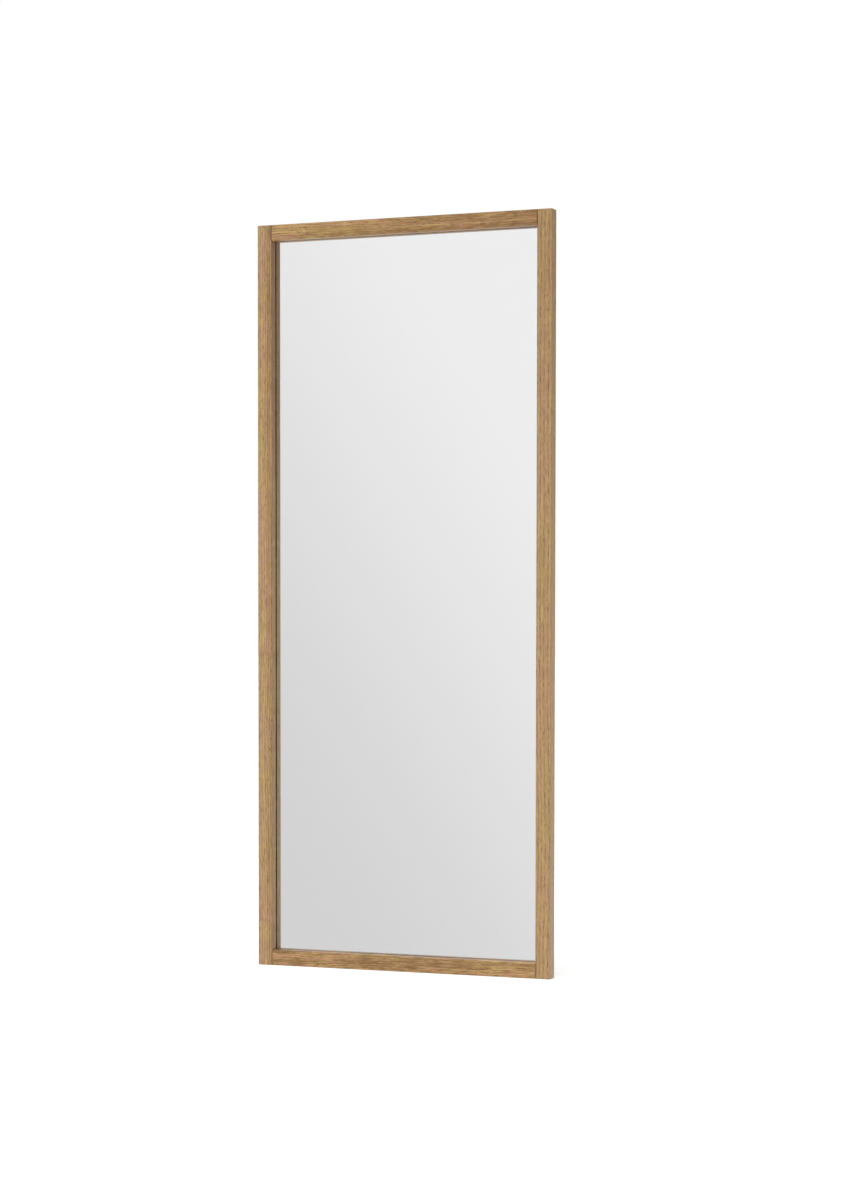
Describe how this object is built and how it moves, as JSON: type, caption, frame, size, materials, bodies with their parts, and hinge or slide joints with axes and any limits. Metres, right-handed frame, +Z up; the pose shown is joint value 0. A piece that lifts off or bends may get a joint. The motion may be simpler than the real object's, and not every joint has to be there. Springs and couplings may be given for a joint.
{
  "type": "full-length framed mirror",
  "caption": "Tall rectangular mirror set back in a slim square-edged solid oak frame, with a fibreboard back, turn buttons, D-ring hangers and rubber bumpers.",
  "frame": {"origin": "under the middle of the object's box, at the height of the frame's base", "axes": "+X to the right as seen from the front, +Y from the front to the back, +Z up along the stiles"},
  "size_m": [0.632, 0.031, 1.5],
  "materials": {
    "oak": "satin clear lacquer on straight-grained oak",
    "beech": "plain, unfinished",
    "glass": "polished clear float glass",
    "silver": "mirror silvering; the paint on its back is not modelled",
    "fibreboard": "smooth brown hardboard",
    "zinc_plate": "bright zinc plate",
    "rubber": "matte black"
  },
  "bodies": {
    "frame": {"stile_left": "oak", "stile_right": "oak", "rail_top": "oak", "rail_bottom": "oak", "dowel_left_bottom_outer": "beech", "dowel_left_bottom_inner": "beech", "dowel_left_top_inner": "beech", "dowel_left_top_outer": "beech", "dowel_right_bottom_outer": "beech", "dowel_right_bottom_inner": "beech", "dowel_right_top_inner": "beech", "dowel_right_top_outer": "beech", "glass_pane": "glass", "silver_coating": "silver", "back_panel": "fibreboard", "setting_block_left": "rubber", "setting_block_right": "rubber", "turn_button_screws": "zinc_plate", "hanger_screws": "zinc_plate", "hanger_strap_left": "zinc_plate", "hanger_strap_right": "zinc_plate", "bumper_left_bottom": "rubber", "bumper_left_top": "rubber", "bumper_right_bottom": "rubber", "bumper_right_top": "rubber"},
    "turn_button_left_low": {"turn_button_left_low": "zinc_plate"},
    "turn_button_left_middle": {"turn_button_left_middle": "zinc_plate"},
    "turn_button_left_high": {"turn_button_left_high": "zinc_plate"},
    "turn_button_right_low": {"turn_button_right_low": "zinc_plate"},
    "turn_button_right_middle": {"turn_button_right_middle": "zinc_plate"},
    "turn_button_right_high": {"turn_button_right_high": "zinc_plate"},
    "turn_button_bottom": {"turn_button_bottom": "zinc_plate"},
    "turn_button_top": {"turn_button_top": "zinc_plate"},
    "hanger_ring_left": {"hanger_ring_left": "zinc_plate"},
    "hanger_ring_right": {"hanger_ring_right": "zinc_plate"}
  },
  "joints": [
    {"name": "turn_button_left_low_pivot", "type": "hinge", "parent": "frame", "child": "turn_button_left_low", "pos_m": [-0.3045, 0.0105, 0.3], "axis": [0, 1, 0], "continuous": true},
    {"name": "turn_button_left_middle_pivot", "type": "hinge", "parent": "frame", "child": "turn_button_left_middle", "pos_m": [-0.3045, 0.0105, 0.75], "axis": [0, 1, 0], "continuous": true},
    {"name": "turn_button_left_high_pivot", "type": "hinge", "parent": "frame", "child": "turn_button_left_high", "pos_m": [-0.3045, 0.0105, 1.2], "axis": [0, 1, 0], "continuous": true},
    {"name": "turn_button_right_low_pivot", "type": "hinge", "parent": "frame", "child": "turn_button_right_low", "pos_m": [0.3045, 0.0105, 0.3], "axis": [0, 1, 0], "continuous": true},
    {"name": "turn_button_right_middle_pivot", "type": "hinge", "parent": "frame", "child": "turn_button_right_middle", "pos_m": [0.3045, 0.0105, 0.75], "axis": [0, 1, 0], "continuous": true},
    {"name": "turn_button_right_high_pivot", "type": "hinge", "parent": "frame", "child": "turn_button_right_high", "pos_m": [0.3045, 0.0105, 1.2], "axis": [0, 1, 0], "continuous": true},
    {"name": "turn_button_bottom_pivot", "type": "hinge", "parent": "frame", "child": "turn_button_bottom", "pos_m": [0, 0.0105, 0.0115], "axis": [0, 1, 0], "range_deg": [-110, 110]},
    {"name": "turn_button_top_pivot", "type": "hinge", "parent": "frame", "child": "turn_button_top", "pos_m": [0, 0.0105, 1.4885], "axis": [0, 1, 0], "continuous": true},
    {"name": "hanger_ring_left_hinge", "type": "hinge", "parent": "frame", "child": "hanger_ring_left", "pos_m": [-0.302, 0.01305, 1.35], "axis": [1, 0, 0], "range_deg": [0, 180]},
    {"name": "hanger_ring_right_hinge", "type": "hinge", "parent": "frame", "child": "hanger_ring_right", "pos_m": [0.302, 0.01305, 1.35], "axis": [1, 0, 0], "range_deg": [0, 180]}
  ]
}
